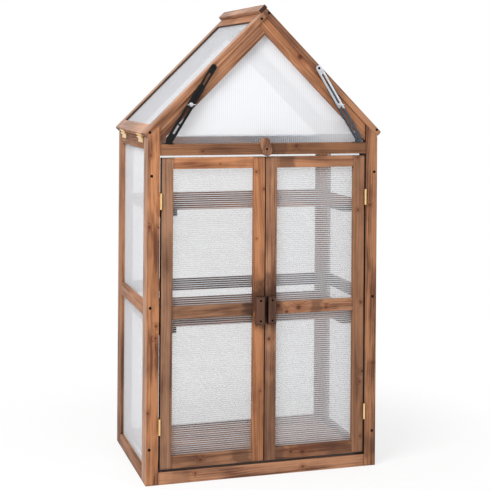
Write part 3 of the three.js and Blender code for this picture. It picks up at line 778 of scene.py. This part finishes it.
def flat_plate(name, loops, thickness, matrix, slot, edge=0.0003, **piece):
    """A plate cut from sheet metal: an outer outline and any holes in it."""
    curve = bpy.data.curves.new(name, "CURVE")
    curve.dimensions = "2D"
    curve.fill_mode = "BOTH"
    curve.extrude = thickness / 2 - edge
    curve.bevel_depth = edge
    curve.bevel_resolution = 2
    curve.offset = -edge
    for loop in loops:
        spline = curve.splines.new("POLY")
        spline.points.add(len(loop) - 1)
        for point, (a, b) in zip(spline.points, loop):
            point.co = (a, b, 0, 1)
        spline.use_cyclic_u = True
    holder = bpy.data.objects.new(name + "_outline", curve)
    mesh = bpy.data.meshes.new_from_object(holder)
    bpy.data.objects.remove(holder)
    bm = bmesh.new()
    bm.from_mesh(mesh)
    bpy.data.meshes.remove(mesh)
    bmesh.ops.remove_doubles(bm, verts=bm.verts, dist=WELD)
    bm.transform(matrix)
    add_piece(name, bm, slot, **piece)


def arc(cx, radius, start, stop, steps=10):
    points = []
    for i in range(steps + 1):
        angle = start + (stop - start) * i / steps
        points.append((cx + radius * math.cos(angle), radius * math.sin(angle)))
    return points


def stadium(x0, x1, radius):
    """A bar or slot with round ends, from the far left point to the far right one."""
    half = math.pi / 2
    return arc(x1 - radius, radius, -half, half) + arc(x0 + radius, radius, half, 3 * half)


def turned(name, profile, point, slot, body, steps=24, finish=None):
    """A round piece that faces the front, from pairs of radius and height over a point."""
    bm = bmesh.new()
    rings = [[bm.verts.new((radius * math.cos(2 * math.pi * i / steps),
                            radius * math.sin(2 * math.pi * i / steps), height))
              for i in range(steps if radius else 1)] for radius, height in profile]
    bands = list(zip(rings, rings[1:]))
    if len(rings[0]) > 1 and len(rings[-1]) > 1:
        bands.append((rings[-1], rings[0]))
    elif len(rings[0]) > 1:
        bm.faces.new(rings[0])
    for low, high in bands:
        for i in range(steps):
            j = (i + 1) % steps
            corners = (low[i % len(low)], low[j % len(low)],
                       high[j % len(high)], high[i % len(high)])
            bm.faces.new(list(dict.fromkeys(corners)))
    bmesh.ops.recalc_face_normals(bm, faces=bm.faces)
    turn = TO_FRONT.to_track_quat("Z", "Y").to_matrix().to_4x4()
    bm.transform(Matrix.Translation(point) @ turn)
    add_piece(name, bm, slot, body=body, finish=finish)


def axes(x, y, z):
    """A turn whose own X, Y and Z point the three ways given."""
    return Matrix((x, y, z)).transposed().to_4x4()


def screw_head(name, point, body, scale=1.0):
    """A sunk screw with a recess, in a dark ring."""
    r = settings("hardware").screw_radius * scale
    profile = [(r * 1.12, -0.0002), (r * 1.12, 0.00005), (r, 0.00035), (r * 0.72, 0.00045),
               (r * 0.34, 0.00035), (r * 0.28, 0.00012), (0, 0.00010)]
    turned(name, profile, point, "black_steel", body, steps=20, finish="screw_steel")


# Pieces

# Shares of painted sheen on the front posts' left sides, the roof frames' outer faces and the
# ridge cap's top.
POST_SHEEN, ROOF_SHEEN, CAP_SHEEN = 0.14, 0.19, 0.13
POST_SCREWS = ((-0.338, 0.876), (-0.340, 0.503), (-0.340, 0.102),
               (0.3405, 0.878), (0.338, 0.5055), (0.339, 0.104))
ROOF_SCREW_LEVELS = {"left": 0.0068, "right": 0.0125}
EAVE_SCREW_RUN, RIDGE_SCREW_RUN = 0.0155, 0.0145
# Radius and height of the clamp's turned parts, and the outline of one wing of its nut.
CLAMP_PROFILES = {
    "bolt": ((0.0, 0.0014), (0.006, 0.0014), (0.006, 0.0028), (0.0025, 0.0030),
             (0.0025, 0.0132), (0.0, 0.0136)),
    "hub": ((0.0026, 0.0072), (0.0062, 0.0072), (0.0062, 0.0082), (0.0050, 0.0086),
            (0.0046, 0.0128), (0.0040, 0.0132), (0.0026, 0.0132)),
}
WING = ((0.0035, 0.0080), (0.0060, 0.0082), (0.0100, 0.0105), (0.0120, 0.0140),
        (0.0120, 0.0165), (0.0105, 0.0175), (0.0085, 0.0172), (0.0060, 0.0145),
        (0.0038, 0.0125))


def add_posts_and_rails():
    for across, side in SIDES.items():
        # Front posts: painted shade on the sides by the doors, painted sheen on the sides
        # facing left, towards the key lamp.
        timber_from_solid(f"post_front_{across}", Z, "post_wood", hidden=(X * -side,),
                          bleached=((-X, POST_SHEEN),))
    for across in SIDES:
        timber_from_solid(f"post_back_{across}", Z, "post_wood")
    for node in ("front_rail_top", "back_rail_top", "back_rail_bottom", "back_rail_middle"):
        timber_from_solid(node, X, "rail_wood")
    # Painted shade on the bottom rail's top, in the gap under the doors.
    timber_from_solid("front_rail_bottom", X, "rail_wood", dim=(Z,))
    for level in ("top", "middle", "bottom"):
        for across in SIDES:
            timber_from_solid(f"side_rail_{level}_{across}", Y, "rail_wood")


def add_gables():
    """The right bar runs over the apex, and the left one butts under it."""
    for along in ENDS:
        node = f"gable_frame_{along}"
        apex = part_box(node)[1].z
        seam = Z * (apex - settings("timber").gable_bar_width * math.sqrt(2))
        under = Vector((-1, 0, -1))
        for across, side in SIDES.items():
            cut_timber(f"gable_bar_{along}_{across}", node, [(seam, under * side)],
                       Vector((side, 0, -1)))


def add_gable_sheets():
    for along in ENDS:
        node = f"gable_sheet_{along}"
        low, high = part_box(node)
        shoulder = high.z - high.x
        standing_sheet(node, "v", [(0, high.z), (low.x, shoulder), (low.x, low.z),
                                   (high.x, low.z), (high.x, shoulder)])


def add_wall_sheets():
    for across in SIDES:
        node = f"side_sheet_{across}"
        low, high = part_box(node)
        outline = box_outline(low.y, high.y, low.z, high.z)
        glazing_piece(node, outline, X * low.x, Y, Z, X, high.x - low.x, "v")
    standing_sheet("back_sheet", "u")


def add_doors():
    stile = settings("timber").stile_width
    for across, side in SIDES.items():
        node = f"door_{across}_frame"
        low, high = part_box(node)
        west, east = X * (low.x + stile), X * (high.x - stile)
        kinds = ("hinge", "meeting") if side < 0 else ("meeting", "hinge")
        for kind, edge, away in zip(kinds, (west, east), (X, -X)):
            # Painted shade on each stile's side in the gap at its hinge and where the doors
            # meet.
            hidden = (X * side,) if kind == "hinge" else (X * -side,)
            cut_timber(f"door_{across}_stile_{kind}", node, [(edge, away)], Z, hidden=hidden)
        between = [(west, -X), (east, X)]
        below = Z * ((MIDDLE_RAIL[0] + low.z) / 2)
        above = Z * ((MIDDLE_RAIL[1] + high.z) / 2)
        for level, cuts in (("bottom", [(below, Z)]), ("middle", [(below, -Z), (above, Z)]),
                            ("top", [(above, -Z)])):
            cut_timber(f"door_{across}_rail_{level}", node, between + cuts, X)
        # Painted shade in the handle's screw holes and on its side towards the other door.
        bores = [(side * HANDLE_X, z) for z in HANDLE_SCREWS]
        timber_from_solid(f"door_{across}_handle", Z, "dark_wood", bores=bores,
                          hidden=(X * -side,))
    # Painted shade in the turn button's screw hole.
    timber_from_solid("turn_button", Vector((0.22, 0, 0.97)), "dark_wood",
                      finish="rail_wood", bores=[(0, BUTTON_SCREW)])


def add_door_sheets():
    for across in SIDES:
        standing_sheet(f"door_{across}_sheet", "u")


def roof_axes(side):
    """Eave corner, up the slope and out of the panel, of one side of the roof."""
    root = math.sqrt(0.5)
    eave = Vector((side * HALF_WIDTH, 0, EAVE_HEIGHT))
    return eave, Vector((-side * root, 0, root)), Vector((side * root, 0, root))


def panel_length(side):
    """The right panel runs over the end of the left one."""
    slope = HALF_WIDTH * math.sqrt(2)
    return slope - LEFT_PANEL_GAP if side < 0 else slope + RIGHT_PANEL_LAP


def add_roof():
    rail = settings("timber").roof_rail_width
    for across, side in SIDES.items():
        node = f"roof_{across}_frame"
        low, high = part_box(node)
        eave, up, out = roof_axes(side)
        above_eave = (eave, -up)
        front, back = Y * (low.y + rail), Y * (high.y - rail)
        between = [(front, -Y), (back, Y)]
        half_way = eave + up * panel_length(side) / 2
        # Painted sheen on the outer faces of the front, back and eave rails, and painted
        # shade on the back and ridge rails' inner sides above the sheet.
        sun = ((out, ROOF_SHEEN),)
        for kind, cuts, grain, looks in (
                ("front", [above_eave, (front, Y)], up, {"bleached": sun}),
                ("back", [above_eave, (back, -Y)], up, {"dim": (-Y,), "bleached": sun}),
                ("eave", [above_eave, *between, (half_way, up)], Y, {"bleached": sun}),
                ("ridge", [*between, (half_way, -up)], Y, {"dim": (-up,)})):
            cut_timber(f"roof_{across}_rail_{kind}", node, cuts, grain, **looks)
        for along, cut in zip(ENDS, (Y, -Y)):
            leaf = kept_part(node, [(eave, up), (Y * (low.y + high.y) / 2, cut)])
            add_piece(f"roof_hinge_{across}_{along}_leaf", leaf, "brass", node)
    # The cap's top takes painted sheen, and its front end is drawn darker with part of the
    # shade mark.
    timber_from_solid("ridge_cap", Y, "post_wood", dim=(-Y,), bleached=((Z, CAP_SHEEN),))


def add_roof_sheets():
    inset = settings("timber").roof_rail_width - GROOVE_DEPTH + GROOVE_PLAY
    for across, side in SIDES.items():
        node = f"roof_{across}_sheet"
        low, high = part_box(node)
        eave, up, out = roof_axes(side)
        outline = box_outline(low.y, high.y, inset, panel_length(side) - inset)
        glazing_piece(node, outline, eave + out * ROOF_SHEET_LEVEL, Y, up, out,
                      SHEET_THICKNESS, "v")


def dress_hinges():
    """The leaves that stay as solids get the brass finish."""
    for across in SIDES:
        for along in ENDS:
            give_finish(f"roof_hinge_{across}_{along}", "brass")
        for level in ("lower", "upper"):
            for kind in ("fixed", "moving"):
                give_finish(f"door_hinge_{across}_{level}_{kind}", "brass")


def give_finish(node, slot):
    for place in frame["nodes"][node].material_slots:
        place.material = finish_of(slot)


def add_stays():
    """The arms lie before the house, the upper one in front of the lower one."""
    lower_level, upper_level, screw_level = 0.0037, 0.0059, 0.0068
    slot_radius, hole_radius = 0.0029, 0.0027
    lower_loops = [stadium(-0.0105, 0.185, 0.0105), stadium(0.020, 0.108, slot_radius),
                   arc(0, hole_radius, 0, 2 * math.pi * 0.95, 15)]
    upper_loops = [stadium(-0.196, 0.009, 0.009), stadium(-0.191, -0.020, slot_radius)]
    boss = [(0.006, 0.0003), (0.006, 0.0060), (0.0, 0.0060)]
    for across, side in SIDES.items():
        slot = "black_steel" if side < 0 else "zinc_steel"
        finish, low_finish = (slot, slot) if side < 0 else ("worn_zinc", "dull_zinc")
        foot, eye = [Vector((side * x, HOUSE_FRONT, z)) for x, z in (STAY_FOOT, STAY_EYE)]
        line = (eye - foot).normalized()
        turn = axes(line, TO_FRONT.cross(line), TO_FRONT)
        upper_body = f"stay_{across}_upper"
        spot = Matrix.Translation(foot + TO_FRONT * lower_level) @ turn
        flat_plate(f"stay_{across}_lower_plate", lower_loops, ARM_THICKNESS, spot, slot,
                   node=f"stay_{across}_lower_arm", finish=low_finish)
        spot = Matrix.Translation(eye + TO_FRONT * upper_level) @ turn
        flat_plate(f"stay_{across}_upper_plate", upper_loops, ARM_THICKNESS, spot, slot,
                   node=f"stay_{across}_upper_arm", finish=finish)
        turned(f"stay_{across}_boss", boss, eye, slot, upper_body, finish=finish)
        screw_head(f"stay_{across}_eye_screw", eye + TO_FRONT * screw_level, upper_body, 0.9)
        add_clamp(across, foot + line * CLAMP_RUN, f"stay_{across}_lower")
        give_finish(f"stay_foot_{across}", low_finish)


def add_clamp(across, point, body):
    """A bolt through both arms with a wing nut, its wings level."""
    name = f"stay_{across}_clamp"
    for part, profile in CLAMP_PROFILES.items():
        turned(f"{name}_{part}", profile, point, "zinc_steel", body)
    for across_wing, side in SIDES.items():
        turn = axes(X * side, TO_FRONT, (X * side).cross(TO_FRONT))
        flat_plate(f"{name}_wing_{across_wing}", [WING], 0.0022,
                   Matrix.Translation(point) @ turn, "zinc_steel", edge=0.0008, body=body)


def add_shelves():
    pitch = (SHELF_DEPTH + SLAT_GAP) / SLATS
    for level in ("bottom", "middle", "top"):
        node = f"shelf_{level}"
        low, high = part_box(node)
        base = high.z - SLAT_THICKNESS
        for i in range(SLATS):
            y = low.y + i * pitch
            outline = box_outline(y, y + pitch - SLAT_GAP, base, high.z)
            bm = prism(outline, X * low.x, Y, Z, X, high.x - low.x)
            timber(f"shelf_{level}_slat_{i + 1}", node, bm, X, "shelf_wood")
        for across, side in SIDES.items():
            outer = side * (high.x - BATTEN_INSET)
            inner = outer - side * BATTEN_WIDTH
            outline = box_outline(min(inner, outer), max(inner, outer), low.z, base)
            bm = prism(outline, Y * low.y, X, Z, Y, high.y - low.y)
            timber(f"shelf_{level}_batten_{across}", node, bm, Y, "shelf_wood")
    for level in ("middle", "top"):
        for across in SIDES:
            timber_from_solid(f"cleat_{level}_{across}", Y, "shelf_wood")


def add_screws():
    for i, (x, z) in enumerate(POST_SCREWS):
        screw_head(f"post_screw_{i + 1}", (x, HOUSE_FRONT, z), "house")
    for across, side in SIDES.items():
        eave, up, out = roof_axes(side)
        for end, run in (("eave", EAVE_SCREW_RUN),
                         ("ridge", panel_length(side) - RIDGE_SCREW_RUN)):
            point = eave + up * run + out * ROOF_SCREW_LEVELS[across]
            screw_head(f"roof_{across}_screw_{end}", (point.x, HOUSE_FRONT, point.z),
                       f"roof_{across}", 0.95)
        for level, z in zip(("lower", "upper"), HANDLE_SCREWS):
            screw_head(f"door_{across}_handle_screw_{level}",
                       (side * HANDLE_X, HANDLE_FRONT, z), f"door_{across}", 0.8)
    screw_head("turn_button_screw", (0, BUTTON_FRONT, BUTTON_SCREW), "turn_button", 0.88)


# Stage

FLOOR_SIZE = 6.0
FLOOR_PLACE = (0, 2.0, -0.0004)
WHITE, FLOOR_WHITE = (1, 1, 1), (0.95, 0.95, 0.95)
SHADOW_REACH = (0.45, 1.10)  # the shadow is kept up to the first and gone from the second
CAMERA_PLACE = (-1.0396, -3.4634, 1.1520)
CAMERA_YAW, CAMERA_ROLL = math.radians(-16.732), math.radians(0.4135)
CAMERA_SHIFT = (-0.0024, -0.3382)


def add_stage():
    scene = bpy.context.scene
    stage = settings("stage")
    bm = bmesh.new()
    bmesh.ops.create_grid(bm, x_segments=8, y_segments=8, size=FLOOR_SIZE)
    floor = add_object("floor", mesh_of("floor", bm))
    floor.location = FLOOR_PLACE
    floor.data.materials.append(floor_finish(stage.floor_lift))

    camera_data = bpy.data.cameras.new("camera")
    camera_data.sensor_width = 36.0
    camera_data.lens = stage.lens
    camera_data.shift_x, camera_data.shift_y = CAMERA_SHIFT
    camera_data.clip_end = 60
    camera = add_object("camera", camera_data)
    camera.matrix_world = (Matrix.Translation(CAMERA_PLACE)
                           @ Matrix.Rotation(CAMERA_YAW, 4, "Z")
                           @ Matrix.Rotation(math.pi / 2, 4, "X")
                           @ Matrix.Rotation(CAMERA_ROLL, 4, "Z"))
    scene.camera = camera

    scene.view_settings.view_transform = "Standard"
    g = Graph(bpy.data.worlds.new("sky"))
    scene.world = g.holder
    strength = g.span(g.seen_rays(), 0.0, 1.0, stage.sky, 1.0)
    g.end(g.node("ShaderNodeBackground", {"Color": WHITE, "Strength": strength}), "World")

    add_lamp("key_lamp", (-1.9, -1.7, 2.6), (0, 0, 0.7), 1.8, stage.key)
    add_lamp("fill_lamp", (2.2, -2.4, 1.9), (0, 0, 0.6), 1.6, stage.fill)


def floor_finish(lift):
    """A matt floor that keeps the house's shadow and turns into plain white further out."""
    g = Graph(bpy.data.materials.new("floor_finish"))
    matt = g.node("ShaderNodeBsdfDiffuse", {"Color": FLOOR_WHITE}).outputs[0]
    glow = g.node("ShaderNodeEmission", {"Color": WHITE}).outputs[0]
    place = g.node("ShaderNodeNewGeometry").outputs["Position"]
    away = g.node("ShaderNodeVectorMath", {0: place}, operation="LENGTH").outputs["Value"]
    bright = g.times(g.seen_rays(), g.span(away, *SHADOW_REACH, lift, 1.0))
    g.end(g.node("ShaderNodeMixShader", enumerate((bright, matt, glow))))
    return g.holder


def add_lamp(name, place, target, size, power):
    data = bpy.data.lights.new(name, "AREA")
    data.shape = "SQUARE"
    data.size = size
    data.energy = power
    lamp = add_object(name, data)
    look = Vector(target) - Vector(place)
    lamp.matrix_world = (Matrix.Translation(place)
                         @ look.to_track_quat("-Z", "Y").to_matrix().to_4x4())


# Operators

class GREENHOUSE_OT_house(bpy.types.Operator):
    """Adds the posts, the rails and the gable bars."""
    bl_idname = "greenhouse.house"
    bl_label = "House timbers"

    def execute(self, context):
        add_posts_and_rails()
        add_gables()
        return {"FINISHED"}


class GREENHOUSE_OT_doors(bpy.types.Operator):
    """Adds the door frames, the handles and the turn button."""
    bl_idname = "greenhouse.doors"
    bl_label = "Doors"

    def execute(self, context):
        add_doors()
        return {"FINISHED"}


class GREENHOUSE_OT_roof(bpy.types.Operator):
    """Adds the roof frames, the ridge cap and their hinge leaves."""
    bl_idname = "greenhouse.roof"
    bl_label = "Roof"

    def execute(self, context):
        add_roof()
        return {"FINISHED"}


class GREENHOUSE_OT_shelves(bpy.types.Operator):
    """Adds the slats, battens and cleats of the shelves."""
    bl_idname = "greenhouse.shelves"
    bl_label = "Shelves"

    def execute(self, context):
        add_shelves()
        return {"FINISHED"}


class GREENHOUSE_OT_glazing(bpy.types.Operator):
    """Adds the twin-wall sheets of the walls, gables, doors and roof."""
    bl_idname = "greenhouse.glazing"
    bl_label = "Glazing"

    def execute(self, context):
        add_wall_sheets()
        add_gable_sheets()
        add_door_sheets()
        add_roof_sheets()
        return {"FINISHED"}


class GREENHOUSE_OT_hardware(bpy.types.Operator):
    """Adds the stays, the screws and the finish of the hinges."""
    bl_idname = "greenhouse.hardware"
    bl_label = "Hinges, stays and screws"

    def execute(self, context):
        dress_hinges()
        add_stays()
        add_screws()
        return {"FINISHED"}


class GREENHOUSE_OT_stage(bpy.types.Operator):
    """Adds the floor, the camera and the lamps."""
    bl_idname = "greenhouse.stage"
    bl_label = "Stage"

    def execute(self, context):
        add_stage()
        return {"FINISHED"}


OPERATORS = (GREENHOUSE_OT_house, GREENHOUSE_OT_doors, GREENHOUSE_OT_roof,
             GREENHOUSE_OT_shelves, GREENHOUSE_OT_glazing, GREENHOUSE_OT_hardware,
             GREENHOUSE_OT_stage)


class GREENHOUSE_PT_panel(bpy.types.Panel):
    """Lists the steps that dress the greenhouse."""
    bl_idname = "GREENHOUSE_PT_panel"
    bl_label = "Greenhouse"
    bl_space_type = "VIEW_3D"
    bl_region_type = "UI"
    bl_category = "Greenhouse"

    def draw(self, context):
        for operator in OPERATORS:
            self.layout.operator(operator.bl_idname)
        for group in SETTINGS:
            box = self.layout.box()
            holder = getattr(context.scene, group)
            for key in holder.bl_rna.properties.keys():
                if key not in ("rna_type", "name"):
                    box.prop(holder, key)


SETTINGS = {
    "greenhouse_timber": TimberSettings,
    "greenhouse_glazing": GlazingSettings,
    "greenhouse_hardware": HardwareSettings,
    "greenhouse_stage": StageSettings,
}


def register():
    for name, group in SETTINGS.items():
        bpy.utils.register_class(group)
        setattr(bpy.types.Scene, name, PointerProperty(type=group))
    for operator in OPERATORS:
        bpy.utils.register_class(operator)
    bpy.utils.register_class(GREENHOUSE_PT_panel)


def unregister():
    bpy.utils.unregister_class(GREENHOUSE_PT_panel)
    for operator in reversed(OPERATORS):
        bpy.utils.unregister_class(operator)
    for name, group in SETTINGS.items():
        delattr(bpy.types.Scene, name)
        bpy.utils.unregister_class(group)


def main():
    register()
    bpy.ops.greenhouse.stage()
    bpy.ops.greenhouse.house()
    bpy.ops.greenhouse.doors()
    bpy.ops.greenhouse.roof()
    bpy.ops.greenhouse.shelves()
    bpy.ops.greenhouse.glazing()
    bpy.ops.greenhouse.hardware()


if __name__ == "__main__":
    main()
